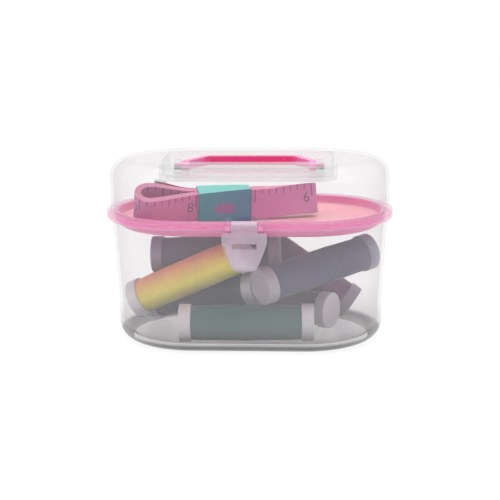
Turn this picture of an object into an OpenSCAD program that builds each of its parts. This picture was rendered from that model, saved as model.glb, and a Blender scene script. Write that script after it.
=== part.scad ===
// Clear oval sewing kit box: a tub and a hinged lid with a folding handle and a snap latch,
// a dished tray under the lid, seven spools of thread in the tub and a tape measure on the tray.
// The front faces -Y, +Z is up, and the origin is the centre of the underside.

/* [Box] */
// Length over the rims
box_len = 119.6; // [119:0.2:140]
// Depth over the rims
box_dep = 73.6; // [73:0.2:86]
// Height of the tub
tub_h = 53.2; // [51:0.2:70]
// Height of the lid
lid_h = 23.3; // [21:0.1:34]
// Wall of the tub and the lid
wall = 1.4; // [1:0.05:1.4]
// Thickness of the tub's floor
floor_t = 3; // [1.6:0.1:3]
// Radius of the tub's bottom edge
foot_r = 7; // [3:0.5:9]
// Radius of the lid's top edge
crown_r = 8; // [3:0.5:8]
// How much narrower the tub is at its foot, on each side
draft = 1.9; // [1:0.1:1.9]
// How far the tub's rim stands out from its wall
tub_rim_w = 2.1; // [1.6:0.1:2.2]
// How far the lid's rim stands out from its wall
lid_rim_w = 1.5; // [0.8:0.1:1.6]
// Thickness of each rim
rim_t = 1.6; // [1.2:0.1:2.2]

/* [Tray] */
// Height of the tray, from its underside to its lip
tray_h = 6.7; // [5.5:0.1:7]
// Thickness of the tray's floor and wall
tray_t = 1.2; // [0.8:0.1:1.6]
// Depth of the seat that the tray's flange lies in
seat_depth = 1.8; // [1.2:0.1:2.4]

/* [Lid well and handle] */
// Length of the well in the lid
well_len = 70; // [66:1:76]
// Width of the well in the lid
well_dep = 40; // [40:0.5:46]
// Depth of the well
well_h = 6.4; // [5.2:0.1:7]
// Distance between the handle's two arms, outside
handle_len = 56; // [50:1:60]
// Reach of the handle from its pivots to the outside of its grip
handle_reach = 19; // [14:0.5:19]
// Width of the handle's grip, seen from above
grip_w = 3.8; // [3:0.1:4.5]
// Thickness of the handle
grip_t = 3.6; // [2.6:0.1:3.8]
// Radius of the handle's pivot pins
pivot_r = 1.2; // [0.9:0.05:1.4]

/* [Hinge and latch] */
// Radius of the moulded bars that the hinge and the latch clip onto
bar_r = 1.1; // [0.8:0.05:1.3]
// Outer radius of the knuckles
knuckle_r = 2.2; // [2:0.05:2.4]
// Distance of each rear hinge from the middle
hinge_x = 17; // [12:0.5:20]
// Width of a hinge knuckle
knuckle_w = 8; // [6:0.5:10]
// Thickness of a hinge or latch ear
ear_t = 2; // [1.5:0.1:2.5]
// Width of the latch
latch_w = 17.6; // [15:0.2:20]
// Thickness of the latch
latch_t = 1.5; // [1.2:0.1:1.8]
// Height of the latch below its bar
latch_h = 17.4; // [15:0.2:20]
// Width of the latch's window
window_w = 9.4; // [7:0.2:10]

/* [Spools] */
// Length of a spool over its caps
spool_len = 55; // [50:0.5:55]
// Diameter of a spool's caps
cap_d = 15.5; // [14.5:0.1:15.5]
// Length of a cap
cap_len = 5; // [4:0.1:6]
// Diameter of the wound thread at its middle
thread_d = 14.8; // [13:0.1:15]
// Outer diameter of a spool's tube
core_d = 9; // [7:0.1:10]
// Wall of a spool's tube
core_t = 0.9; // [0.6:0.1:1.5]

/* [Tape measure] */
// Width of the tape
tape_w = 12.5; // [10:0.1:12.5]
// Thickness of the tape
tape_t = 0.44; // [0.35:0.01:0.44]
// Spacing of the tape's turns
tape_pitch = 0.92; // [0.92:0.01:0.96]
// Number of turns
tape_turns = 3; // [2:0.5:3]
// Thickness of the paper band
band_t = 0.4; // [0.3:0.05:0.6]

/* [Clearances] */
// Gap between the closed lid and the tub
lid_gap = 0.1; // [0.05:0.05:0.3]
// Radial gap of a knuckle or bore on its bar or pin
pin_gap = 0.06; // [0.03:0.01:0.1]
// Gap beside a knuckle
side_gap = 0.3; // [0.2:0.05:0.5]
// Gap round the tray's flange
tray_gap = 0.3; // [0.2:0.05:0.5]
// Gap between the paper band and the tape, and between the tape's clip and the tape
wrap_gap = 0.2; // [0.15:0.05:0.3]

/* [Hidden] */
$fn = 48;
spool_names = ["green", "yellow", "navy", "slate", "grey", "plum", "black"];
part_gap = 0.02;

// The plan is a rectangle with a half circle at each end, so every outline is a distance r
// from the middle line, swept round both ends and along both sides.
rim_r = box_dep / 2;
straight = box_len - box_dep;
tub_r = rim_r - tub_rim_w;
foot_wall_r = tub_r - draft;
waist_z = 16;
lid_r = rim_r - lid_rim_w;
lid_z = tub_h + lid_gap;
top_z = lid_z + lid_h;
edge = 0.3;

// The tray's flange lies on a step inside the tub's mouth.
seat_z = tub_h - seat_depth;
seat_r = tub_r - 0.6;
flange_r = seat_r - tray_gap;
flange_t = 1.4;
tray_r = tub_r - wall - tray_gap;
tray_z = seat_z - 3.3;
lip_r = lid_r - wall - 0.6;
lip_z = tray_z + tray_h;
tray_floor_z = tray_z + tray_t;
dish_r = 3.4;

// The rear hinge turns on bars behind the tub's rim, and the front latch on a bar of the lid.
hinge_y = rim_r + knuckle_r + 0.3;
hinge_z = tub_h;
latch_y = -(rim_r + knuckle_r + 0.3);
latch_z = lid_z + rim_t / 2;
latch_barrel_w = 10;
latch_back_y = latch_y - 0.2;
shoulder_z = latch_z - knuckle_r - side_gap;
latch_low_z = latch_z - latch_h;
window_z = latch_z - 7.6;
window_h = 2;
nub_h = 1.3;
nub_w = window_w - 0.8;
nub_y = latch_back_y - latch_t + 0.2;

well_z = top_z - well_h;
pivot_z = well_z + grip_t / 2 + 0.4;
arm_w = 3;
pivot_ear_t = 2.8;

// The pile of spools was laid out for a tub of this length and depth inside its foot, and of
// this height under the tray. In another tub the pile follows whichever of them is tightest.
laid_len = 108.8;
laid_dep = 62.8;
laid_h = 45.1;
pile_fit = min(
  (straight + 2 * (foot_wall_r - wall)) / laid_len,
  2 * (foot_wall_r - wall) / laid_dep,
  (tray_z - floor_t) / laid_h
);
cap_r = pile_fit * cap_d / 2;
cap_depth = pile_fit * cap_len;
spool_half = pile_fit * spool_len / 2;
tube_r = pile_fit * core_d / 2;
tube_bore_r = tube_r - pile_fit * core_t;
wound_r = pile_fit * thread_d / 2;

// Each spool's place: x and y of its middle, its height over the floor in cap radii,
// how far it is turned in plan, and how far its right end is tipped up.
spool_places = [
  [-0.5, -22, 1, 2, 0],
  [-24.5, -12, 3.2, -13, 25],
  [28, -10.5, 3.6, 33, 9],
  [-19.5, 1, 1.78, -26, 13],
  [-14.5, 3.5, 4, -1, 1],
  [21.5, 17, 2.84, -10, -34],
  [11, 11, 1, -30, 0]
];
thread_colors = [
  "#3d7a72", "#e2d23c", "#3b3a5c", "#3c4250", "#45425c", "#6a2a58", "#38384a"
];

// The tape's hank: u runs along it from left to right, v across it, and h up its width.
hank_x = -6;
hank_y = -0.5;
hank_turn = 16;
nose_u = -37;
fold_u = 33;
nose_half = 6.5;
hank_half = 3;
band_u = [-16.5, 6];
tail_u = -34;
tail_flare = 1.6;
clip_len = 5;

function unit(v) = v / norm(v);
function arc(centre, r, a0, a1, n = 8) =
  [for (i = [0:n]) let (a = a0 + (a1 - a0) * i / n) centre + r * [cos(a), sin(a)]];
function spin(v, a) = [v[0] * cos(a) - v[1] * sin(a), v[0] * sin(a) + v[1] * cos(a)];
function smooth(t) = let (k = max(0, min(1, t))) k * k * (3 - 2 * k);

// Corner p between a and b, rounded to radius r.
function corner(a, p, b, r, n = 6) =
  r == 0 ? [p] :
  let (
    u = unit(a - p), v = unit(b - p),
    half = acos(u * v) / 2,
    centre = p + unit(u + v) * r / sin(half),
    start = p + u * r / tan(half) - centre,
    sweep = sign(cross(v, u)) * (180 - 2 * half)
  )
  [for (i = [0:n]) centre + spin(start, sweep * i / n)];

function rounded(points, radii) =
  let (n = len(points))
  [for (i = [0:n - 1]) each
    corner(points[(i + n - 1) % n], points[i], points[(i + 1) % n], radii[i])];

module oval_sweep() {
  for (side = [0, 1])
    rotate([0, 0, 180 * side])
      translate([straight / 2, 0, 0])
        rotate_extrude(angle = 180, start = -90) children();
  rotate([90, 0, 90])
    linear_extrude(straight, center = true) {
      children();
      mirror([1, 0]) children();
    }
}

// A plate of 2D outline in Y and Z, from x0 to x1.
module side_plate(x0, x1) {
  translate([x0, 0, 0]) rotate([90, 0, 90]) linear_extrude(x1 - x0) children();
}

module rounded_block(len, dep, h, r) {
  linear_extrude(h) polygon(rounded(
    [[len / 2, dep / 2], [-len / 2, dep / 2], [-len / 2, -dep / 2], [len / 2, -dep / 2]],
    [r, r, r, r]
  ));
}

module tub_profile() {
  inner_foot_r = foot_r - wall;
  polygon(concat(
    [[0, 0]],
    arc([foot_wall_r - foot_r, foot_r], foot_r, -90, 0),
    [
      [foot_wall_r, waist_z],
      [tub_r, tub_h - rim_t],
      [rim_r - edge, tub_h - rim_t],
      [rim_r, tub_h - rim_t + edge],
      [rim_r, tub_h - edge],
      [rim_r - edge, tub_h],
      [seat_r, tub_h],
      [seat_r, seat_z],
      [tub_r - wall, seat_z],
      [foot_wall_r - wall, waist_z]
    ],
    arc([foot_wall_r - foot_r, floor_t + inner_foot_r], inner_foot_r, 0, -90),
    [[0, floor_t]]
  ));
}

// Ear of the rear hinge, braced on the tub's wall.
module hinge_ear_outline() {
  translate([hinge_y, hinge_z]) circle(knuckle_r);
  polygon([
    [tub_r - wall / 2, seat_z - 4],
    [hinge_y, hinge_z - knuckle_r],
    [hinge_y, hinge_z],
    [rim_r - edge, tub_h - edge],
    [rim_r - edge, tub_h - rim_t],
    [tub_r - wall / 2, tub_h - rim_t]
  ]);
}

module tub_hinges() {
  reach = knuckle_w / 2 + side_gap;
  for (side = [-1, 1], end = [-1, 1]) {
    x = side * hinge_x + end * (reach + ear_t / 2);
    side_plate(x - ear_t / 2, x + ear_t / 2) hinge_ear_outline();
  }
  for (side = [-1, 1])
    translate([side * hinge_x, hinge_y, hinge_z])
      rotate([0, 90, 0]) cylinder(r = bar_r, h = 2 * reach + ear_t, center = true);
}

// The nub that the latch's window snaps over.
module catch_nub() {
  wall_y = -(tub_r - wall / 2 - draft * (tub_h - window_z) / (tub_h - waist_z));
  neck_y = latch_back_y + 0.5;
  side_plate(-nub_w / 2, nub_w / 2) polygon([
    [wall_y, window_z + 2.6],
    [neck_y, window_z + nub_h / 2],
    [nub_y, window_z + nub_h / 2],
    [nub_y, window_z - nub_h / 2],
    [neck_y, window_z - nub_h / 2],
    [wall_y, window_z - 2.6]
  ]);
}

module tub() {
  color([0.93, 0.93, 0.95, 0.35]) {
    oval_sweep() tub_profile();
    tub_hinges();
    catch_nub();
  }
}

module tray_profile() {
  polygon(concat(
    [[0, tray_z]],
    arc([tray_r - dish_r - 0.4, tray_z + dish_r], dish_r, -90, 0),
    [
      [tray_r, seat_z + part_gap],
      [flange_r, seat_z + part_gap],
      [flange_r, seat_z + flange_t],
      [lip_r, seat_z + flange_t + 0.4],
      [lip_r, lip_z - edge],
      [lip_r - edge, lip_z],
      [lip_r - tray_t + edge, lip_z],
      [lip_r - tray_t, lip_z - edge]
    ],
    arc([lip_r - tray_t - dish_r, tray_floor_z + dish_r], dish_r, 0, -90),
    [[0, tray_floor_z]]
  ));
}

module tray() {
  color([0.93, 0.45, 0.62]) oval_sweep() tray_profile();
}

module lid_profile() {
  crown = [lid_r - crown_r, top_z - crown_r];
  polygon(concat(
    [
      [lid_r - wall, lid_z],
      [rim_r - edge, lid_z],
      [rim_r, lid_z + edge],
      [rim_r, lid_z + rim_t - edge],
      [rim_r - edge, lid_z + rim_t],
      [lid_r, lid_z + rim_t]
    ],
    arc(crown, crown_r, 0, 90),
    [[0, top_z], [0, top_z - wall]],
    arc(crown, crown_r - wall, 90, 0)
  ));
}

// Knuckle that snaps over the hinge bar through a slot at its lower back.
module lid_knuckle_outline() {
  difference() {
    union() {
      translate([hinge_y, hinge_z]) circle(knuckle_r);
      polygon([
        [lid_r, lid_z],
        [rim_r + 0.1, lid_z],
        [hinge_y, hinge_z],
        [hinge_y, hinge_z + knuckle_r],
        [lid_r, lid_z + rim_t + 1.2]
      ]);
    }
    translate([hinge_y, hinge_z]) circle(bar_r + pin_gap);
    translate([hinge_y, hinge_z]) rotate(-50)
      translate([0, -bar_r * 0.8]) square([2 * knuckle_r, bar_r * 1.6]);
  }
}

// Ear of the latch bar, braced on the lid's wall.
module latch_ear_outline() {
  translate([latch_y, latch_z]) circle(knuckle_r - 0.3);
  polygon([
    [-(lid_r - wall / 2), lid_z],
    [-(rim_r + 0.1), lid_z],
    [latch_y, latch_z],
    [latch_y, latch_z + knuckle_r - 0.3],
    [-(lid_r - wall / 2), lid_z + rim_t + 2.4]
  ]);
}

module latch_bar() {
  reach = latch_barrel_w / 2 + side_gap;
  for (side = [-1, 1]) {
    x = side * (reach + ear_t / 2);
    side_plate(x - ear_t / 2, x + ear_t / 2) latch_ear_outline();
  }
  translate([0, latch_y, latch_z])
    rotate([0, 90, 0]) cylinder(r = bar_r, h = 2 * reach + ear_t, center = true);
}

module pivot_ears() {
  for (side = [-1, 1]) {
    x = side * (handle_len / 2 + side_gap + pivot_ear_t / 2);
    side_plate(x - pivot_ear_t / 2, x + pivot_ear_t / 2) difference() {
      union() {
        translate([0, pivot_z]) circle(2.6);
        translate([-2.6, well_z - wall / 2]) square([5.2, pivot_z - well_z + wall / 2]);
      }
      translate([0, pivot_z]) circle(pivot_r + pin_gap);
    }
  }
}

module lid() {
  color([0.93, 0.93, 0.95, 0.35]) {
    difference() {
      union() {
        oval_sweep() lid_profile();
        translate([0, 0, well_z - wall])
          rounded_block(well_len + 2 * wall, well_dep + 2 * wall, well_h + wall / 2, 8 + wall);
      }
      translate([0, 0, well_z]) rounded_block(well_len, well_dep, 2 * well_h, 8);
    }
    pivot_ears();
    latch_bar();
    for (side = [-1, 1])
      side_plate(side * hinge_x - knuckle_w / 2, side * hinge_x + knuckle_w / 2)
        lid_knuckle_outline();
  }
}

// Folding bail: two arms and a grip, in plan.
module handle_outline() {
  out = handle_len / 2;
  grip = out - 7.5;
  polygon(rounded(
    [
      [out, -1], [out, 3], [grip, handle_reach], [-grip, handle_reach], [-out, 3], [-out, -1],
      [arm_w - out, -1], [arm_w - out, 2.6], [2.2 - grip, handle_reach - grip_w],
      [grip - 2.2, handle_reach - grip_w], [out - arm_w, 2.6], [out - arm_w, -1]
    ],
    [0, 6, 4.5, 4.5, 6, 0, 0, 4, 2, 2, 4, 0]
  ));
}

module handle() {
  boss_r = grip_t / 2 + 0.2;
  pin_len = side_gap + pivot_ear_t;
  color([0.91, 0.23, 0.5]) {
    translate([0, 0, pivot_z - grip_t / 2]) linear_extrude(grip_t) handle_outline();
    for (side = [-1, 1]) {
      translate([side * (handle_len - arm_w) / 2, 0, pivot_z])
        rotate([0, 90, 0]) cylinder(r = boss_r, h = arm_w, center = true);
      translate([side * (handle_len + pin_len) / 2, 0, pivot_z])
        rotate([0, 90, 0]) cylinder(r = pivot_r, h = pin_len + 0.2, center = true);
    }
  }
}

// Front view of the latch: a plate that narrows to a finger tab.
module latch_outline() {
  half = latch_w / 2;
  difference() {
    polygon(rounded(
      [
        [half, shoulder_z], [-half, shoulder_z], [-half, shoulder_z - 4],
        [-6, latch_low_z + 3.6], [-4.6, latch_low_z], [4.6, latch_low_z],
        [6, latch_low_z + 3.6], [half, shoulder_z - 4]
      ],
      [1, 1, 3, 1, 3, 3, 1, 3]
    ));
    translate([-window_w / 2, window_z - window_h / 2]) square([window_w, window_h]);
  }
}

module latch() {
  tab_h = 4;
  color([0.9, 0.84, 0.93]) {
    translate([0, latch_back_y, 0]) rotate([90, 0, 0]) linear_extrude(latch_t) latch_outline();
    side_plate(-latch_barrel_w / 2, latch_barrel_w / 2) difference() {
      union() {
        translate([latch_y, latch_z]) circle(knuckle_r);
        translate([latch_back_y - latch_t, shoulder_z - 1]) square([latch_t, latch_z - shoulder_z + 1]);
      }
      translate([latch_y, latch_z]) circle(bar_r + pin_gap);
      translate([latch_y, latch_z]) rotate(35)
        translate([0, -bar_r * 0.8]) square([2 * knuckle_r, bar_r * 1.6]);
    }
    side_plate(-4.2, 4.2) polygon([
      [latch_back_y - latch_t / 2, latch_low_z + tab_h],
      [latch_back_y - latch_t, latch_low_z + tab_h],
      [latch_back_y - latch_t - 0.8, latch_low_z + 1.6],
      [latch_back_y - latch_t - 0.8, latch_low_z + 0.8],
      [latch_back_y - latch_t / 2, latch_low_z + 0.8]
    ]);
  }
}

// Moves a spool, modelled along X, to its place in the pile.
module in_pile(i) {
  place = spool_places[i];
  translate([pile_fit * place[0], pile_fit * place[1], floor_t + part_gap + place[2] * cap_r])
    rotate([0, -place[4], place[3]])
      children();
}

module along_x() {
  rotate([90, 0, 90]) children();
}

module spool_core(i) {
  color("#d9d2c4") in_pile(i) along_x() difference() {
    cylinder(r = tube_r, h = 2 * (spool_half - cap_depth), center = true);
    cylinder(r = tube_bore_r, h = 2 * spool_half, center = true);
  }
}

// Both end caps: a closed disc with a rounded rim and a spigot that plugs into the tube.
module spool_caps(i) {
  half = spool_half;
  color("#efe9f2") in_pile(i)
    for (side = [-1, 1])
      rotate([0, 0, side > 0 ? 0 : 180]) along_x() rotate_extrude() polygon(concat(
        [[0, half - 0.3], [cap_r - 1.6, half - 0.3], [cap_r - 1.3, half]],
        arc([cap_r - 0.5, half - 0.5], 0.5, 90, 0, 4),
        arc([cap_r - 0.3, half - cap_depth + 0.3], 0.3, 0, -90, 3),
        [[tube_bore_r, half - cap_depth], [tube_bore_r, half - cap_depth - 4], [0, half - cap_depth - 4]]
      ));
}

// Wound thread: one smooth package, a little fuller in the middle than at the caps.
module spool_thread(i) {
  half = spool_half - cap_depth;
  color(thread_colors[i]) in_pile(i) along_x() rotate_extrude() polygon(concat(
    [[tube_r, -half], [tube_r, half]],
    [for (t = [1:-0.25:-1]) [wound_r - 0.35 * t * t, half * t]]
  ));
}

// Half thickness of the hank, and how far its nose droops to the front.
function hank_w(u) =
  hank_half + (nose_half - hank_half) * (1 - smooth((u - nose_u) / (band_u[0] - nose_u)));
function droop(u) = -2 * (1 - smooth((u - nose_u) / (band_u[0] - nose_u)));
function lean(u) = 5 + 24 * max(0, min(1, (band_u[1] - u) / (band_u[1] - nose_u)));

// A point of the leaning hank: it tips forward about its front bottom edge, and the band
// round it dips lowest at its left end.
wrap_out = band_t + wrap_gap;
band_lean = lean(band_u[0]);
tape_z = tray_floor_z + part_gap + wrap_out * cos(band_lean)
  + (tape_t / 2 + wrap_out) * sin(band_lean);
function hank_point(u, v, h) =
  let (front = droop(u) - hank_w(u), d = v - front, a = lean(u),
       n = front + d * cos(a) - h * sin(a))
  [
    hank_x + u * cos(hank_turn) - n * sin(hank_turn),
    hank_y + u * sin(hank_turn) + n * cos(hank_turn),
    tape_z + d * sin(a) + h * cos(a)
  ];

// One turn of the tape, wound inwards: back run, right fold, front run, nose.
run_steps = 14;
fold_steps = 6;
nose_steps = 8;
turn_steps = 2 * run_steps + fold_steps + nose_steps;
function turn_point(step) =
  let (k = step % turn_steps, inset = tape_pitch * step / turn_steps,
       end_w = hank_w(nose_u) - inset, fold_w = hank_half - inset)
  k < run_steps ?
    let (u = nose_u + (fold_u - nose_u) * k / run_steps) [u, droop(u) + hank_w(u) - inset] :
  k < run_steps + fold_steps ?
    let (a = 90 - 180 * (k - run_steps) / fold_steps) [fold_u + fold_w * cos(a), fold_w * sin(a)] :
  k < 2 * run_steps + fold_steps ?
    let (u = fold_u + (nose_u - fold_u) * (k - run_steps - fold_steps) / run_steps)
      [u, droop(u) - hank_w(u) + inset] :
    let (a = -90 - 180 * (k - 2 * run_steps - fold_steps) / nose_steps)
      [nose_u + end_w * cos(a), droop(nose_u) + end_w * sin(a)];

// The tail stands a little behind the back run and then joins it.
tail_steps = 3;
join_step = 4;
join_u = nose_u + (fold_u - nose_u) * join_step / run_steps;
function tail_point(k) =
  let (t = k / tail_steps, u = tail_u + (join_u - tail_u) * t)
  [u, droop(u) + hank_w(u) + tail_flare * (1 - smooth(t))];

tape_path = concat(
  [for (k = [0:tail_steps - 1]) tail_point(k)],
  [for (step = [join_step:tape_turns * turn_steps - 6]) turn_point(step)]
);
tape_n = len(tape_path);
function path_normal(i) =
  let (d = unit(tape_path[min(i + 1, tape_n - 1)] - tape_path[max(i - 1, 0)])) [-d[1], d[0]];

// Least gap of the tape to itself, from each point to each run at least a third of a turn away.
function run_distance(p, a, b) =
  let (t = max(0, min(1, (p - a) * (b - a) / ((b - a) * (b - a))))) norm(p - a - (b - a) * t);
tape_gap = min([
  for (i = [0:tape_n - 1], j = [0:tape_n - 2])
    if (abs(j - i) > turn_steps / 3) run_distance(tape_path[i], tape_path[j], tape_path[j + 1])
]) - tape_t;
echo(tape_gap = tape_gap);

// A tube of four-sided rings, closed at both ends.
module four_sided(rings) {
  n = len(rings);
  polyhedron(
    [for (ring = rings) each ring],
    concat(
      [[0, 1, 2], [0, 2, 3]],
      [for (i = [0:n - 2], k = [0:3]) let (a = 4 * i + k, b = 4 * i + (k + 1) % 4)
        each [[a, b + 4, b], [a, a + 4, b + 4]]],
      [let (a = 4 * (n - 1)) each [[a, a + 2, a + 1], [a, a + 3, a + 2]]]
    )
  );
}

function tape_ring(i, half, h0, h1) =
  let (p = tape_path[i], n = path_normal(i) * half)
  [
    hank_point(p[0] - n[0], p[1] - n[1], h0), hank_point(p[0] + n[0], p[1] + n[1], h0),
    hank_point(p[0] + n[0], p[1] + n[1], h1), hank_point(p[0] - n[0], p[1] - n[1], h1)
  ];

module tape() {
  color([0.83, 0.5, 0.68])
    four_sided([for (i = [0:tape_n - 1]) tape_ring(i, tape_t / 2, 0, tape_w)]);
}

// Metal clip folded over the tape's outer end.
module tape_clip() {
  clip_t = 0.35;
  far = (join_u - tail_u) / tail_steps;
  function clip_ring(t, out) =
    let (half = tape_t / 2 + wrap_gap + out, a = tape_ring(0, half, -wrap_gap - out, tape_w + wrap_gap + out),
         b = tape_ring(1, half, -wrap_gap - out, tape_w + wrap_gap + out))
    [for (k = [0:3]) a[k] + (b[k] - a[k]) * t / far];
  color([0.85, 0.82, 0.8]) difference() {
    four_sided([clip_ring(0, clip_t), clip_ring(clip_len, clip_t)]);
    four_sided([clip_ring(-1, 0), clip_ring(clip_len + 1, 0)]);
  }
}

// Paper band round the middle of the hank.
module tape_band() {
  steps = 8;
  function sleeve(out, past) =
    [for (k = [0:steps])
      let (u = band_u[0] - past + (band_u[1] - band_u[0] + 2 * past) * k / steps,
           w = hank_w(u) + tape_t / 2 + out)
      [
        hank_point(u, droop(u) - w, -out), hank_point(u, droop(u) + w, -out),
        hank_point(u, droop(u) + w, tape_w + out), hank_point(u, droop(u) - w, tape_w + out)
      ]];
  color([0.35, 0.75, 0.68]) difference() {
    four_sided(sleeve(wrap_out, 0));
    four_sided(sleeve(wrap_gap, 1));
  }
}

tub();
tray();
lid();
handle();
latch();
tape();
tape_band();
tape_clip();
for (i = [0:len(spool_names) - 1]) {
  spool_core(i);
  spool_caps(i);
  spool_thread(i);
}
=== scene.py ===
"""Clear oval sewing box with thread spools, a tray and a folded tape measure, dressed over its CAD frame."""
import math
import random

import bmesh
import bpy
from mathutils import Matrix, Vector


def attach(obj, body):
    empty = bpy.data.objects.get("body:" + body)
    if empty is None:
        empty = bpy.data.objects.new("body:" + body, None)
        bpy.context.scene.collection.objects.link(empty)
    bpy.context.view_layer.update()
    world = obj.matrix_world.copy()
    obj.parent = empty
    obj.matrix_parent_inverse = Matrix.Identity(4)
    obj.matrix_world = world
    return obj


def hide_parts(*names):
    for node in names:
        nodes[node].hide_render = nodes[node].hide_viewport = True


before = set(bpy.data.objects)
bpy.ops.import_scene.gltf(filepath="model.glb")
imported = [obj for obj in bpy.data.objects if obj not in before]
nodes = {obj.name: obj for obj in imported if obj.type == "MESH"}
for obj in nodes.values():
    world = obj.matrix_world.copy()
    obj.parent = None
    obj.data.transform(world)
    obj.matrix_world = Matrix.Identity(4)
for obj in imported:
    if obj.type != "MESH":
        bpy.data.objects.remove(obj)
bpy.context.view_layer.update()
MM = 0.001
random.seed(7)


# Camera: where the photograph was taken from
SENSOR = 36
IMAGE_WIDTH = 500


def aim_camera(place, yaw, pitch, roll, focal_px):
    """place is in metres, angles are in radians, and focal_px is the focal length in the photo's pixels."""
    forward = Vector((-math.sin(yaw) * math.cos(pitch), math.cos(yaw) * math.cos(pitch), -math.sin(pitch)))
    right = Vector((math.cos(yaw), math.sin(yaw), 0))
    up = right.cross(forward)
    turned_right = right * math.cos(roll) - up * math.sin(roll)
    turned_up = right * math.sin(roll) + up * math.cos(roll)
    data = bpy.data.cameras.new("camera")
    data.lens = focal_px * SENSOR / IMAGE_WIDTH
    data.sensor_width = SENSOR
    data.clip_start = 0.01
    camera = bpy.data.objects.new("camera", data)
    camera.matrix_world = Matrix.Translation(place) @ Matrix(
        (turned_right, turned_up, -forward)).transposed().to_4x4()
    bpy.context.scene.collection.objects.link(camera)
    bpy.context.scene.camera = camera


aim_camera(Vector((24.42, -456.06, 136.2)) * MM, yaw=0.0534, pitch=0.2153, roll=0.0076, focal_px=1102.95)


# Materials
class Shader:
    """A material with one Principled node, and helpers that add the nodes for its colour and bump."""

    def __init__(self, name, **sockets):
        self.material = bpy.data.materials.new(name)
        self.material.use_nodes = True
        self.tree = self.material.node_tree
        self.base = self.tree.nodes["Principled BSDF"]
        self.out = self.tree.nodes["Material Output"]
        self.set(**sockets)

    def set(self, **sockets):
        for key, value in sockets.items():
            self.base.inputs[key.replace("_", " ")].default_value = value

    def node(self, kind, **values):
        made = self.tree.nodes.new("ShaderNode" + kind)
        for key, value in values.items():
            if hasattr(made, key):
                setattr(made, key, value)
            else:
                made.inputs[key.replace("_", " ")].default_value = value
        return made

    def link(self, a, b):
        self.tree.links.new(a, b)

    def place(self, scale=(1, 1, 1)):
        """The point on the piece, in metres, times scale."""
        coord = self.node("TexCoord")
        mapping = self.node("Mapping", Scale=scale)
        self.link(coord.outputs["Object"], mapping.inputs["Vector"])
        return mapping.outputs[0]

    def normal(self):
        return self.node("NewGeometry").outputs["Normal"]

    def axes(self, vector=None):
        """The X, Y and Z of a vector, or of the point on the piece."""
        made = self.node("SeparateXYZ")
        self.link(vector or self.place(), made.inputs[0])
        return made.outputs

    def ease(self, value, start, end, top=1.0):
        """0 at start, rising smoothly to top at end; start may be the larger one."""
        made = self.node("MapRange", interpolation_type="SMOOTHSTEP")
        for key, number in (("From Min", start), ("From Max", end), ("To Min", 0.0), ("To Max", top)):
            made.inputs[key].default_value = number
        self.link(value, made.inputs["Value"])
        return made.outputs[0]

    def blotches(self, scale, detail, rough, darker, colour, low=0.35, high=0.7):
        """A colour that drifts between two shades."""
        return self.mix(self.ramp(self.noise(scale, detail, rough), (low, 0.0), (high, 1.0)), darker, colour)

    def noise(self, scale, detail=3.0, rough=0.5, vector=None):
        made = self.node("TexNoise", Scale=scale, Detail=detail, Roughness=rough)
        self.link(vector or self.place(), made.inputs["Vector"])
        return made.outputs[0]

    def ramp(self, factor, low, high):
        """low and high are (position, value or colour)."""
        made = self.node("ValToRGB")
        for element, (at, value) in zip(made.color_ramp.elements, (low, high)):
            element.position = at
            element.color = (*value, 1) if hasattr(value, "__len__") else (value, value, value, 1)
        self.link(factor, made.inputs[0])
        return made.outputs[0]

    def math(self, operation, a, b=0.5, c=None):
        made = self.node("Math", operation=operation)
        for socket, value in zip(made.inputs, (a, b, c)):
            if value is None:
                continue
            if isinstance(value, (int, float)):
                socket.default_value = value
            else:
                self.link(value, socket)
        return made.outputs[0]

    def mix(self, factor, a, b, blend="MIX"):
        made = self.node("Mix", data_type="RGBA", blend_type=blend)
        for socket, value in ((made.inputs[0], factor), (made.inputs[6], a), (made.inputs[7], b)):
            if isinstance(value, bpy.types.NodeSocket):
                self.link(value, socket)
            elif hasattr(value, "__len__"):
                socket.default_value = (*value, 1)
            else:
                socket.default_value = value
        return made.outputs[2]

    def bump(self, height, distance, strength=1.0, before=None):
        made = self.node("Bump", Strength=strength, Distance=distance)
        self.link(height, made.inputs["Height"])
        if before:
            self.link(before, made.inputs["Normal"])
        return made.outputs[0]

    def paint(self, colour):
        self.link(colour, self.base.inputs["Base Color"])

    def painted(self):
        """The colour that the surface has so far."""
        return self.base.inputs["Base Color"].links[0].from_socket

    def mix_shaders(self, share, first, second):
        made = self.node("MixShader")
        for socket, value in zip(made.inputs, (share, first, second)):
            self.link(value, socket)
        return made.outputs[0]

    def shape(self, normal):
        self.link(normal, self.base.inputs["Normal"])

    def roughness(self, value):
        self.link(value, self.base.inputs["Roughness"])


def moulded(name, colour, darker, rough=0.32, bump=0.00002):
    """Injection-moulded plastic: faint flow marks, a fine grain and small scuffs."""
    s = Shader(name, Specular_IOR_Level=0.5)
    s.paint(s.blotches(38, 4, 0.55, darker, colour))
    s.roughness(s.ramp(s.noise(120, 6, 0.7, s.place((1, 3, 1))), (0.5, rough - 0.06), (0.75, rough + 0.12)))
    s.shape(s.bump(s.noise(900, 2), bump, 0.5))
    return s


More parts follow.
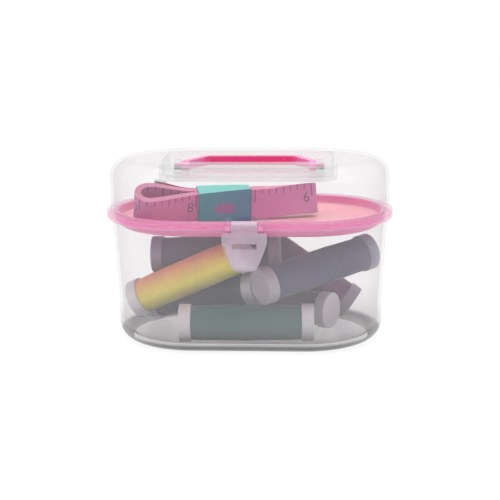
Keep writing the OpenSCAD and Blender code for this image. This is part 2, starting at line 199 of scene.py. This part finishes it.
def clear_plastic(name, veil, tint, haze, edge_shade, bands=(), rough=0.22, edge_veil=0.3):
    """Clear moulded plastic with a milky veil, which thickens where seen edge on and turns there to the given
    darker edge colour, a painted shade. bands are (height it is strongest at, height it is gone at, veil,
    colour, walls only), in mm."""
    s = Shader(name, Specular_IOR_Level=0.5, Roughness=rough)
    body = s.blotches(26, 4, 0.6, haze, tuple(min(1, c * 1.05) for c in haze))
    clouds = s.ramp(s.noise(18, 5, 0.65), (0.3, veil * 0.8), (0.75, veil * 1.25))
    facing = s.node("LayerWeight", Blend=0.5).outputs["Facing"]
    # Painted shade: the veil's colour turns to the darker edge colour where the plastic is seen edge on.
    body = s.mix(s.math("POWER", facing, 2.5), body, edge_shade)
    is_wall = s.math("LESS_THAN", s.math("ABSOLUTE", s.axes(s.normal())[2]), 0.97)
    for full, gone, more, colour, walls_only in bands:
        share = s.ease(s.axes()[2], gone * MM, full * MM)
        if walls_only:
            share = s.math("MULTIPLY", share, is_wall)
        body = s.mix(share, body, colour)
        clouds = s.math("ADD", clouds, s.math("MULTIPLY", share, more))
    s.paint(body)
    s.shape(s.bump(s.noise(40, 2, 0.5), 0.00002, 0.15))
    amount = s.math("ADD", clouds, s.math("MULTIPLY", s.math("POWER", facing, 3.0), edge_veil))
    through = s.node("BsdfTransparent", Color=(*tint, 1))
    veiled = s.mix_shaders(s.math("MINIMUM", amount, 0.85), through.outputs[0], s.base.outputs[0])
    gloss = s.node("BsdfGlossy", Roughness=0.12, Color=(1, 1, 1, 1))
    shine = s.math("ADD", s.math("MULTIPLY", s.math("POWER", facing, 5.0), 0.35), 0.02)
    s.link(s.mix_shaders(shine, veiled, gloss.outputs[0]), s.out.inputs["Surface"])
    return s


def tray_plastic():
    """Pink, with a paler inside below the rim."""
    s = moulded("tray_pink", (0.88, 0.21, 0.48), (0.82, 0.18, 0.44), 0.36, bump=0.000003)
    outward = s.node("VectorMath", operation="DOT_PRODUCT")
    s.link(s.place((1, 1, 0)), outward.inputs[0])
    s.link(s.normal(), outward.inputs[1])
    inside = s.math("MULTIPLY", s.math("LESS_THAN", outward.outputs["Value"], 0.001),
                    s.math("GREATER_THAN", s.axes(s.normal())[2], -0.5))
    below_rim = s.math("LESS_THAN", s.axes()[2], 51.4 * MM)
    s.paint(s.mix(s.math("MULTIPLY", inside, below_rim), s.painted(), (0.97, 0.50, 0.55)))
    return s


def handle_plastic():
    """Hot pink grip, with arms painted paler and more violet, a painted sheen."""
    s = moulded("handle_pink", (0.86, 0.028, 0.21), (0.78, 0.02, 0.18), 0.26)
    # Painted sheen: the arms are mixed towards a pale violet pink.
    arms = s.ease(s.math("ABSOLUTE", s.axes()[0]), 16.5 * MM, 22 * MM, 0.6)
    s.paint(s.mix(arms, s.painted(), (0.86, 0.34, 0.68)))
    return s


def clip_steel():
    s = Shader("clip_steel", Metallic=1.0)
    s.paint(s.blotches(300, 4, 0.6, (0.62, 0.60, 0.58), (0.84, 0.82, 0.80), low=0.4))
    s.roughness(s.ramp(s.noise(1500, 2, 0.5, s.place((1, 1, 12))), (0.3, 0.28), (0.7, 0.42)))
    return s


def cap_plastic(name, pale, deep, split_x):
    """Thin milky cap, greyed by painted shade: pale on the left of split_x (mm), and on the right tinted with a
    painted see-through colour of the thread inside it.
    """
    s = moulded(name, pale, tuple(c * 0.9 for c in pale), 0.34)
    s.paint(s.mix(s.math("GREATER_THAN", s.axes()[0], split_x * MM), s.painted(), deep))
    return s


def tube_paper():
    s = Shader("tube_paper", Roughness=0.85)
    s.paint(s.blotches(700, 4, 0.6, (0.60, 0.53, 0.43), (0.74, 0.68, 0.58), high=0.65))
    s.shape(s.bump(s.noise(1800, 3), 0.00005, 0.6))
    return s


def thread_shader(name, colour, darker, top=None):
    """Sewing thread: fine fibres across each strand; painted shade darkens it between strands and on the
    underside, and top is painted light tinting the upper side.
    """
    s = Shader(name, Roughness=0.62, Sheen_Weight=0.35, Sheen_Roughness=0.4, Specular_IOR_Level=0.3)
    height = s.node("Attribute", attribute_name="strand").outputs["Fac"]
    side = s.node("Attribute", attribute_name="upper").outputs["Fac"]
    fibres = s.noise(1.0, 3, 0.6, s.place((9000, 2600, 2600)))
    # Painted shade: the thread is darker in the grooves between strands.
    body = s.mix(s.ramp(height, (0.0, 0.0), (0.75, 1.0)), darker, colour)
    # Painted shade: the underside of the winding is darkened.
    body = s.mix(s.ramp(side, (0.0, 0.0), (0.42, 1.0)), tuple(0.45 * c for c in colour), body)
    if top:
        body = s.mix(s.ramp(side, (0.45, 0.0), (0.95, 1.0)), body, top)
    paler = tuple(min(1, c * 1.35 + 0.01) for c in colour)
    worn = s.mix(s.ramp(fibres, (0.3, 0.0), (0.75, 0.3)), body, paler)
    patches = s.ramp(s.noise(160, 3, 0.5), (0.3, 0.88), (0.7, 1.0))
    s.paint(s.mix(1.0, worn, patches, "MULTIPLY"))
    s.shape(s.bump(fibres, 0.00004, 0.7))
    return s


# The CAD nodes that stay
SHARP = math.radians(32)


def dress(name, shader):
    """Gives a CAD node this material."""
    data = nodes[name].data
    data.materials.clear()
    data.materials.append(shader.material)
    for polygon in data.polygons:
        polygon.use_smooth = True
    data.set_sharp_from_angle(angle=SHARP)


# Painted pink light from the tray behind them, laid in a band on the clear rims of the tub and the lid.
PAINTED_TRAY_PINK = (0.95, 0.36, 0.62)
dress("tub", clear_plastic(
    "clear_tub", veil=0.08, tint=(0.985, 0.98, 0.98), haze=(0.88, 0.86, 0.91), edge_shade=(0.50, 0.49, 0.50),
    # The first two bands are painted shade, greying and darkening the tub's foot; the third is the painted pink
    # light from the tray.
    bands=((1, 16, 0.14, (0.26, 0.25, 0.255), False),
           (2.4, 4.8, 0.68, (0.05, 0.05, 0.05), True),
           (52.4, 51.0, 0.34, PAINTED_TRAY_PINK, False)),
    edge_veil=0.24))
dress("lid", clear_plastic(
    "clear_lid", veil=0.06, tint=(0.985, 0.985, 0.985), haze=(0.66, 0.65, 0.68), edge_shade=(0.46, 0.46, 0.47),
    bands=((54.0, 55.6, 0.30, PAINTED_TRAY_PINK, False),)))
dress("tray", tray_plastic())
dress("handle", handle_plastic())
dress("latch", clear_plastic(
    "latch_milky", veil=0.36, tint=(0.97, 0.95, 0.98), haze=(0.68, 0.57, 0.66), edge_shade=(0.55, 0.50, 0.56),
    rough=0.34))
dress("tape_clip", clip_steel())


# Mesh helpers: all places and lengths are in mm
def mesh_piece(name, verts, faces, shader, smooth=True):
    """A piece of the scene from points in mm."""
    data = bpy.data.meshes.new(name)
    data.from_pydata([tuple(c * MM for c in v) for v in verts], [], faces)
    data.validate()
    data.materials.append(shader.material)
    for polygon in data.polygons:
        polygon.use_smooth = smooth
    made = bpy.data.objects.new(name, data)
    bpy.context.scene.collection.objects.link(made)
    return made


def grid_faces(rows, columns, first=0):
    """Quads between closed rings of points, each ring of `columns` points."""
    return [
        (first + i * columns + k, first + i * columns + (k + 1) % columns,
         first + (i + 1) * columns + (k + 1) % columns, first + (i + 1) * columns + k)
        for i in range(rows - 1) for k in range(columns)
    ]


def stand_for(piece, node):
    """The piece takes the node's place, and rides on the tub."""
    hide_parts(node)
    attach(piece, "tub")


# Spools: (x, y, height in cap radii, turn, tip), colour of the thread, and its colour between the turns, which
# is painted shade
SPOOLS = {
    "green": ((-0.5, -22, 1, 2, 0), (0.022, 0.115, 0.105), (0.015, 0.08, 0.075)),
    "yellow": ((-24.5, -12, 3.2, -13, 25), (0.86, 0.74, 0.10), (0.78, 0.62, 0.05)),
    "navy": ((28, -10.5, 3.6, 33, 9), (0.075, 0.072, 0.155), (0.05, 0.048, 0.105)),
    "slate": ((-19.5, 1, 1.78, -26, 13), (0.055, 0.065, 0.11), (0.037, 0.045, 0.078)),
    "grey": ((-14.5, 3.5, 4, -1, 1), (0.13, 0.095, 0.165), (0.09, 0.066, 0.115)),
    "plum": ((21.5, 17, 2.84, -10, -34), (0.25, 0.06, 0.19), (0.16, 0.04, 0.13)),
    "black": ((11, 11, 1, -30, 0), (0.05, 0.048, 0.075), (0.033, 0.032, 0.05)),
}
# Painted warm light on the upper side of the yellow thread.
YELLOW_TOP_PAINTED_LIGHT = (0.90, 0.30, 0.20)
# Colours of the left and the right cap, greyed as painted shade inside the tub; some per-spool caps also carry
# their thread's colour painted in, as seen through the cap
SHADED_WHITE_CAPS = (0.66, 0.635, 0.665), (0.62, 0.595, 0.625)
SHADED_CAP_LOOKS = {
    "navy": ((0.42, 0.38, 0.43), (0.17, 0.16, 0.24)),
    "grey": ((0.24, 0.22, 0.30), (0.50, 0.46, 0.52)),
    "slate": ((0.40, 0.38, 0.42), (0.52, 0.50, 0.52)),
    "plum": ((0.33, 0.28, 0.36), (0.33, 0.25, 0.33)),
    "black": ((0.40, 0.38, 0.42), (0.68, 0.63, 0.67)),
}
FLOOR_TOP, CAP_R, HALF_THREAD, THREAD_R = 3.02, 7.75, 22.5, 7.4
THREAD_TURNS, ROWS_PER_TURN, AROUND = 84, 4, 44
WAIST = 0.35  # how much thinner the winding is at its ends
TURN_DEPTH = 0.10
# Strands that cross the winding: (angle at the middle, radians wound per half length, way round)
CROSSING = ((0.4, 2.6, 1), (4.4, 5.2, -1))
CROSSING_STEPS, CROSSING_SIDES, CROSSING_REACH, CROSSING_R = 120, 6, 0.96, 0.1


def pile_matrix(place):
    x, y, height, turn, tip = place
    return (Matrix.Translation((x, y, FLOOR_TOP + height * CAP_R))
            @ Matrix.Rotation(math.radians(turn), 4, "Z") @ Matrix.Rotation(math.radians(-tip), 4, "Y"))


def wound_thread(name, place, shader):
    """Thread wound turn by turn on its tube, with two strands that cross it."""
    into_pile = pile_matrix(place)
    verts, strand, upper = [], [], []
    rows = THREAD_TURNS * ROWS_PER_TURN + 1
    lift = [random.uniform(-0.05, 0.04) for _ in range(THREAD_TURNS + 1)]
    for i in range(rows):
        t = -1 + 2 * i / (rows - 1)
        k, phase = divmod(i, ROWS_PER_TURN)
        crown = (1 - math.cos(2 * math.pi * phase / ROWS_PER_TURN)) / 2
        for j in range(AROUND):
            a = 2 * math.pi * j / AROUND
            drift = lift[k] * (0.6 + 0.4 * math.cos(a * 2 + k))
            r = THREAD_R - WAIST * t * t - TURN_DEPTH + TURN_DEPTH * crown + drift * 0.8
            verts.append(into_pile @ Vector((HALF_THREAD * t, r * math.cos(a), r * math.sin(a))))
            strand.append(crown)
            upper.append(0.5 + 0.5 * math.sin(a))
    faces = grid_faces(rows, AROUND)
    for middle, slope, way in CROSSING:
        first = len(verts)
        for i in range(CROSSING_STEPS + 1):
            u = -CROSSING_REACH + 2 * CROSSING_REACH * i / CROSSING_STEPS
            a = middle + way * slope * u
            r = THREAD_R - WAIST * u * u + 0.02
            centre = Vector((HALF_THREAD * u, r * math.cos(a), r * math.sin(a)))
            turning = r * way * slope
            along = Vector((HALF_THREAD, -turning * math.sin(a), turning * math.cos(a))).normalized()
            out = Vector((0, math.cos(a), math.sin(a)))
            side = along.cross(out).normalized()
            for k in range(CROSSING_SIDES):
                b = 2 * math.pi * k / CROSSING_SIDES
                verts.append(into_pile @ (centre + (out * math.cos(b) + side * math.sin(b)) * CROSSING_R))
                strand.append(1.0)
                upper.append(0.5 + 0.5 * math.sin(a))
        faces += grid_faces(CROSSING_STEPS + 1, CROSSING_SIDES, first)
        last = first + CROSSING_STEPS * CROSSING_SIDES
        faces.append(tuple(first + k for k in range(CROSSING_SIDES)))
        faces.append(tuple(last + k for k in reversed(range(CROSSING_SIDES))))
    made = mesh_piece(f"{name}_winding", verts, faces, shader)
    for label, values in (("strand", strand), ("upper", upper)):
        attribute = made.data.attributes.new(label, "FLOAT", "POINT")
        attribute.data.foreach_set("value", values)
    stand_for(made, f"{name}_thread")


paper = tube_paper()
for name, (place, colour, darker) in SPOOLS.items():
    left_cap, right_cap = SHADED_CAP_LOOKS.get(name, SHADED_WHITE_CAPS)
    dress(f"{name}_caps", cap_plastic(f"caps_{name}", left_cap, right_cap, place[0]))
    dress(f"{name}_core", paper)
    top = YELLOW_TOP_PAINTED_LIGHT if name == "yellow" else None
    wound_thread(name, place, thread_shader(f"thread_{name}", colour, darker, top))


# Tape measure: the CAD hank's own outline, wound with all the turns of a 1.5 m tape. u runs along the hank
# from its nose to its fold, v across it, and h up the tape's width.
HANK_X, HANK_Y, HANK_TURN = -6, -0.5, math.radians(16)
NOSE_U, FOLD_U, NOSE_HALF, HANK_HALF = -37, 33, 6.5, 3
BAND_U, TAIL_U, TAIL_FLARE = (-16.5, 6), -34, 1.6
NOSE_DROOP = 2
BAND_LEAN, NOSE_LEAN, FOLD_LEAN = 5, 29, -16  # degrees towards the front
TAPE_W, TAPE_Z, PITCH, TAPE_T, TURNS = 12.5, 50.14, 0.30, 0.2, 9.5


def smooth(t):
    k = max(0.0, min(1.0, t))
    return k * k * (3 - 2 * k)


def nose_share(u):
    """1 at the nose, 0 from the paper band on."""
    return 1 - smooth((u - NOSE_U) / (BAND_U[0] - NOSE_U))


def hank_w(u):
    return HANK_HALF + (NOSE_HALF - HANK_HALF) * nose_share(u)


def droop(u):
    return -NOSE_DROOP * nose_share(u)


def lean(u):
    """Forward at the nose, nearly upright in the band, and back again at the fold: the hank lies twisted."""
    if u > BAND_U[1]:
        share = smooth((u - BAND_U[1]) / (FOLD_U + HANK_HALF - BAND_U[1]))
        return math.radians(BAND_LEAN + (FOLD_LEAN - BAND_LEAN) * share)
    share = min(1, (BAND_U[1] - u) / (BAND_U[1] - NOSE_U))
    return math.radians(BAND_LEAN + (NOSE_LEAN - BAND_LEAN) * share)


def hank_point(u, v, h):
    """The point in the part's frame; the edge that the hank leans over stays on the tray."""
    front = droop(u) - hank_w(u)
    d, a = v - front, lean(u)
    n = front + d * math.cos(a) - h * math.sin(a)
    raised = 2 * hank_w(u) * max(0, math.sin(-a))
    return Vector((
        HANK_X + u * math.cos(HANK_TURN) - n * math.sin(HANK_TURN),
        HANK_Y + u * math.sin(HANK_TURN) + n * math.cos(HANK_TURN),
        TAPE_Z + d * math.sin(a) + h * math.cos(a) + raised))


# Points along each straight run, round the fold and round the nose
RUN, FOLD, NOSE = 36, 12, 16
STEPS = 2 * RUN + FOLD + NOSE
TAIL_STEPS = 8


def turn_point(step):
    """(u, v) of a point of the winding, which spirals inwards from the back of the hank."""
    k, inset = step % STEPS, PITCH * step / STEPS
    end_w, fold_w = hank_w(NOSE_U) - inset, HANK_HALF - inset
    if k < RUN:
        u = NOSE_U + (FOLD_U - NOSE_U) * k / RUN
        return u, droop(u) + hank_w(u) - inset
    if k < RUN + FOLD:
        a = math.radians(90 - 180 * (k - RUN) / FOLD)
        return FOLD_U + fold_w * math.cos(a), fold_w * math.sin(a)
    if k < 2 * RUN + FOLD:
        u = FOLD_U + (NOSE_U - FOLD_U) * (k - RUN - FOLD) / RUN
        return u, droop(u) - hank_w(u) + inset
    a = math.radians(-90 - 180 * (k - 2 * RUN - FOLD) / NOSE)
    return NOSE_U + end_w * math.cos(a), droop(NOSE_U) + end_w * math.sin(a)


JOIN = round(RUN * 4 / 14)
join_u = NOSE_U + (FOLD_U - NOSE_U) * JOIN / RUN
tape_path = []
for k in range(TAIL_STEPS):
    u = TAIL_U + (join_u - TAIL_U) * k / TAIL_STEPS
    tape_path.append((u, droop(u) + hank_w(u) + TAIL_FLARE * (1 - smooth(k / TAIL_STEPS))))
tape_path += [turn_point(step) for step in range(JOIN, int(TURNS * STEPS))]
path_lengths = [0.0]
for a, b in zip(tape_path, tape_path[1:]):
    path_lengths.append(path_lengths[-1] + math.hypot(b[0] - a[0], b[1] - a[1]))


def path_frame(i):
    """Unit normal of the path at point i."""
    a, b = tape_path[max(i - 1, 0)], tape_path[min(i + 1, len(tape_path) - 1)]
    length = math.hypot(b[0] - a[0], b[1] - a[1])
    return -(b[1] - a[1]) / length, (b[0] - a[0]) / length


INCH = 25.4
# Marks from the upper edge: (spacing, length, width)
MARKS = ((INCH / 8, 2.3, 0.42), (INCH / 2, 3.6, 0.42), (INCH, 5.6, 0.5))


def ink(s, light=(0.24, 0.07, 0.15)):
    """Printing ink that has sunk into the cloth."""
    return s.mix(s.ramp(s.noise(2600, 2), (0.3, 0.0), (0.7, 1.0)), (0.13, 0.03, 0.08), light)


def tape_shader():
    """Coated cloth tape: fine weave, and eighth-inch marks from its upper edge, longer at halves and inches."""
    s = Shader("tape_pink", Roughness=0.48, Specular_IOR_Level=0.4, Sheen_Weight=0.1)
    along, across, _ = s.axes(s.node("UVMap", uv_map="tape").outputs[0])
    marks = None
    for step, length, width in MARKS:
        line = s.math("LESS_THAN", s.math("PINGPONG", along, step / 2), width / 2)
        near_edge = s.math("LESS_THAN", s.math("SUBTRACT", TAPE_W, across), length)
        each = s.math("MULTIPLY", line, near_edge)
        marks = each if marks is None else s.math("MAXIMUM", marks, each)
    cloth = s.blotches(45, 4, 0.6, (0.54, 0.13, 0.36), (0.62, 0.17, 0.41))
    # Painted highlight: a thin paler line along the tape's upper edge.
    edge = s.math("GREATER_THAN", across, TAPE_W - 0.12)
    s.paint(s.mix(edge, s.mix(marks, cloth, ink(s)), (0.86, 0.34, 0.52)))
    s.shape(s.bump(s.noise(2600, 2), 0.00004, 0.6))
    return s


def tape_piece():
    """The whole tape, with its narrow edges rounded; its uv layer holds (length along it, height) in mm."""
    edge = 0.08
    outline = ((-1, edge), (-1, TAPE_W - edge), (-0.4, TAPE_W), (0.4, TAPE_W),
               (1, TAPE_W - edge), (1, edge), (0.4, 0), (-0.4, 0))
    verts, uvs = [], []
    for i, (u, v) in enumerate(tape_path):
        nx, ny = path_frame(i)
        for side, h in outline:
            verts.append(hank_point(u + nx * side * TAPE_T / 2, v + ny * side * TAPE_T / 2, h))
            uvs.append((path_lengths[i], h))
    count, around = len(tape_path), len(outline)
    faces = grid_faces(count, around)
    faces.append(tuple(range(around))[::-1])
    faces.append(tuple((count - 1) * around + k for k in range(around)))
    made = mesh_piece("tape_wound", verts, faces, tape_shader(), smooth=False)
    layer = made.data.uv_layers.new(name="tape")
    for loop in made.data.loops:
        layer.data[loop.index].uv = uvs[loop.vertex_index]
    return made


tape = tape_piece()
stand_for(tape, "tape")


FIRST_NUMBER = 4
DIGIT_SIZE, DIGIT_FOOT, DIGIT_GAP = 6.2, 4.6, 0.9


def flat_digits(text):
    """Mesh of the digits in Blender's own font, lying flat, with its right edge at 0."""
    curve = bpy.data.curves.new("digits", "FONT")
    curve.body = text
    curve.size = DIGIT_SIZE
    curve.align_x = "RIGHT"
    holder = bpy.data.objects.new("digits", curve)
    bpy.context.scene.collection.objects.link(holder)
    bpy.context.view_layer.update()
    mesh = bpy.data.meshes.new_from_object(holder.evaluated_get(bpy.context.evaluated_depsgraph_get()))
    places = [tuple(v.co) for v in mesh.vertices]
    faces = [tuple(p.vertices) for p in mesh.polygons]
    bpy.data.objects.remove(holder)
    bpy.data.curves.remove(curve)
    bpy.data.meshes.remove(mesh)
    return places, faces


def path_at(length):
    """(u, v) of the tape at this length along it, and its unit normal there."""
    i = next((i for i, value in enumerate(path_lengths) if value >= length), len(path_lengths) - 1)
    i = max(1, i)
    t = (length - path_lengths[i - 1]) / max(1e-9, path_lengths[i] - path_lengths[i - 1])
    (u0, v0), (u1, v1) = tape_path[i - 1], tape_path[i]
    return u0 + (u1 - u0) * t, v0 + (v1 - v0) * t, *path_frame(i)


def tape_numbers():
    """Inch numbers on the outer face of the outermost turn."""
    s = Shader("tape_ink", Roughness=0.6)
    s.paint(ink(s, (0.22, 0.06, 0.13)))
    verts, faces = [], []
    outermost = path_lengths[STEPS - JOIN + TAIL_STEPS + 1]
    out = TAPE_T / 2 + 0.03
    for k in range(int(outermost / INCH)):
        first = len(verts)
        places, polygons = flat_digits(str(FIRST_NUMBER + k))
        for x, y, _ in places:
            u, v, nx, ny = path_at((k + 1) * INCH + DIGIT_GAP - x)
            verts.append(hank_point(u + nx * out, v + ny * out, DIGIT_FOOT + y))
        faces += [tuple(first + i for i in polygon) for polygon in polygons]
    made = mesh_piece("tape_numbers", verts, faces, s, smooth=False)
    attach(made, "tub")
    return made


numbers = tape_numbers()


BAND_PLAY, BAND_T, BAND_STEPS, BAND_SIDE_STEPS = 0.3, 0.3, 26, 6


def band_shader():
    """Printed paper: mint, with a teal front face that has a plain oval patch."""
    s = Shader("band_paper", Roughness=0.55, Specular_IOR_Level=0.4)
    along, around, _ = s.axes(s.node("UVMap", uv_map="band").outputs[0])
    fibre = s.noise(900, 5, 0.65)
    mint = s.mix(fibre, (0.14, 0.60, 0.54), (0.20, 0.68, 0.61))
    teal = s.mix(s.math("ADD", s.math("MULTIPLY", along, 0.85), s.math("MULTIPLY", fibre, 0.2)),
                 (0.008, 0.28, 0.31), (0.04, 0.13, 0.27))
    is_front = s.math("MULTIPLY", s.math("GREATER_THAN", around, 0.0), s.math("LESS_THAN", around, 1.0))
    squares = []
    for value, middle, half in ((along, 0.5, 0.21), (around, 0.44, 0.18)):
        offset = s.math("DIVIDE", s.math("SUBTRACT", value, middle), half)
        squares.append(s.math("POWER", s.math("ABSOLUTE", offset), 2.0))
    patch = s.math("LESS_THAN", s.math("ADD", *squares), 1.0)
    s.paint(s.mix(s.math("MULTIPLY", patch, is_front), s.mix(is_front, mint, teal), (0.25, 0.07, 0.27)))
    s.shape(s.bump(fibre, 0.00005, 0.5))
    return s


def paper_band():
    """Paper sleeve round the hank. Its uv layer holds (share along the sleeve, place round it), where the
    front face is from 0 to 1, the top to 2, the back to 3 and the underside to 4."""
    corners = [(-1, 0), (-1, 1), (1, 1), (1, 0)]
    ring = []
    for k, (a, b) in enumerate(zip(corners, corners[1:] + corners[:1])):
        for j in range(BAND_SIDE_STEPS):
            t = j / BAND_SIDE_STEPS
            ring.append((a[0] + (b[0] - a[0]) * t, a[1] + (b[1] - a[1]) * t, k + t))
    verts, uvs = [], []
    for layer in (BAND_PLAY + BAND_T, BAND_PLAY):
        for i in range(BAND_STEPS + 1):
            u = BAND_U[0] + (BAND_U[1] - BAND_U[0]) * i / BAND_STEPS
            w = hank_w(u) + 0.22 + layer
            for side, height, where in ring:
                h = -layer + (TAPE_W + 2 * layer) * height
                verts.append(hank_point(u, droop(u) + w * side, h))
                uvs.append((i / BAND_STEPS, where))
    n = len(ring)
    half = (BAND_STEPS + 1) * n
    faces = [tuple(reversed(f)) for f in grid_faces(BAND_STEPS + 1, n)] + grid_faces(BAND_STEPS + 1, n, half)
    for row in (0, BAND_STEPS):
        for k in range(n):
            a, b = row * n + k, row * n + (k + 1) % n
            face = (a, b, b + half, a + half)
            faces.append(face if row == 0 else tuple(reversed(face)))
    made = mesh_piece("band_sleeve", verts, faces, band_shader(), smooth=False)
    layer = made.data.uv_layers.new(name="band")
    for polygon in made.data.polygons:
        wheres = [uvs[made.data.loops[i].vertex_index][1] for i in polygon.loop_indices]
        wrap = max(wheres) - min(wheres) > 2
        for i in polygon.loop_indices:
            along, where = uvs[made.data.loops[i].vertex_index]
            layer.data[i].uv = (along, where + 4 if wrap and where < 1 else where)
    stand_for(made, "tape_band")
    return made


band = paper_band()
for piece in (tape, band):
    data = piece.data
    mesh = bmesh.new()
    mesh.from_mesh(data)
    bmesh.ops.recalc_face_normals(mesh, faces=mesh.faces)
    mesh.to_mesh(data)
    mesh.free()


# Floor, world and lamps: floor and world show white to the camera and in gloss, but light the object less
SEEN = ("Is Camera Ray", "Is Glossy Ray", "Is Transmission Ray")
FLOOR_HALF = 3.0
FLOOR_CORNERS = ((-1, -1), (1, -1), (1, 1), (-1, 1))
floor_data = bpy.data.meshes.new("floor")
floor_data.from_pydata([(x * FLOOR_HALF, y * FLOOR_HALF, 0) for x, y in FLOOR_CORNERS], [], [(0, 1, 2, 3)])
floor = bpy.data.objects.new("floor", floor_data)
floor.location.z = -0.2 * MM
bpy.context.scene.collection.objects.link(floor)
ground = Shader("floor_white", Roughness=0.9, Specular_IOR_Level=0.1, Base_Color=(0.86, 0.86, 0.86, 1))
rays = ground.node("LightPath")
camera_ray, glossy_ray, transmission_ray = (rays.outputs[name] for name in SEEN)
seen = ground.math("MAXIMUM", camera_ray, ground.math("MAXIMUM", glossy_ray, transmission_ray))
glow = ground.node("Emission", Color=(1, 1, 1, 1), Strength=1.14)
blend = ground.mix_shaders(ground.math("MULTIPLY", seen, 0.78), ground.base.outputs[0], glow.outputs[0])
ground.link(blend, ground.out.inputs["Surface"])
floor_data.materials.append(ground.material)

world = bpy.data.worlds.new("studio")
bpy.context.scene.world = world
world.use_nodes = True
tree = world.node_tree
back = tree.nodes["Background"]
path = tree.nodes.new("ShaderNodeLightPath")
either, any_of = (tree.nodes.new("ShaderNodeMath") for _ in range(2))
either.operation = any_of.operation = "MAXIMUM"
tree.links.new(path.outputs[SEEN[0]], either.inputs[0])
tree.links.new(path.outputs[SEEN[1]], either.inputs[1])
tree.links.new(either.outputs[0], any_of.inputs[0])
tree.links.new(path.outputs[SEEN[2]], any_of.inputs[1])
level = tree.nodes.new("ShaderNodeMapRange")
level.inputs["To Min"].default_value = 0.55
level.inputs["To Max"].default_value = 1.0
tree.links.new(any_of.outputs[0], level.inputs["Value"])
tree.links.new(level.outputs[0], back.inputs["Strength"])
back.inputs["Color"].default_value = (1, 1, 1, 1)


def lamp(name, place, size, watts):
    """An area lamp that faces the middle of the object."""
    data = bpy.data.lights.new(name, "AREA")
    data.shape = "RECTANGLE"
    data.size, data.size_y = size
    data.energy = watts
    made = bpy.data.objects.new(name, data)
    made.location = place
    made.rotation_euler = (Vector((0, 0, 0.04)) - Vector(place)).to_track_quat("-Z", "Y").to_euler()
    bpy.context.scene.collection.objects.link(made)


lamp("top", (0.0, -0.1, 1.1), (1.2, 1.0), 9)
lamp("left", (-0.9, -0.7, 0.6), (0.8, 0.8), 2.5)
lamp("right", (0.9, -0.6, 0.6), (0.8, 0.8), 2)
bpy.context.scene.view_settings.view_transform = "Standard"
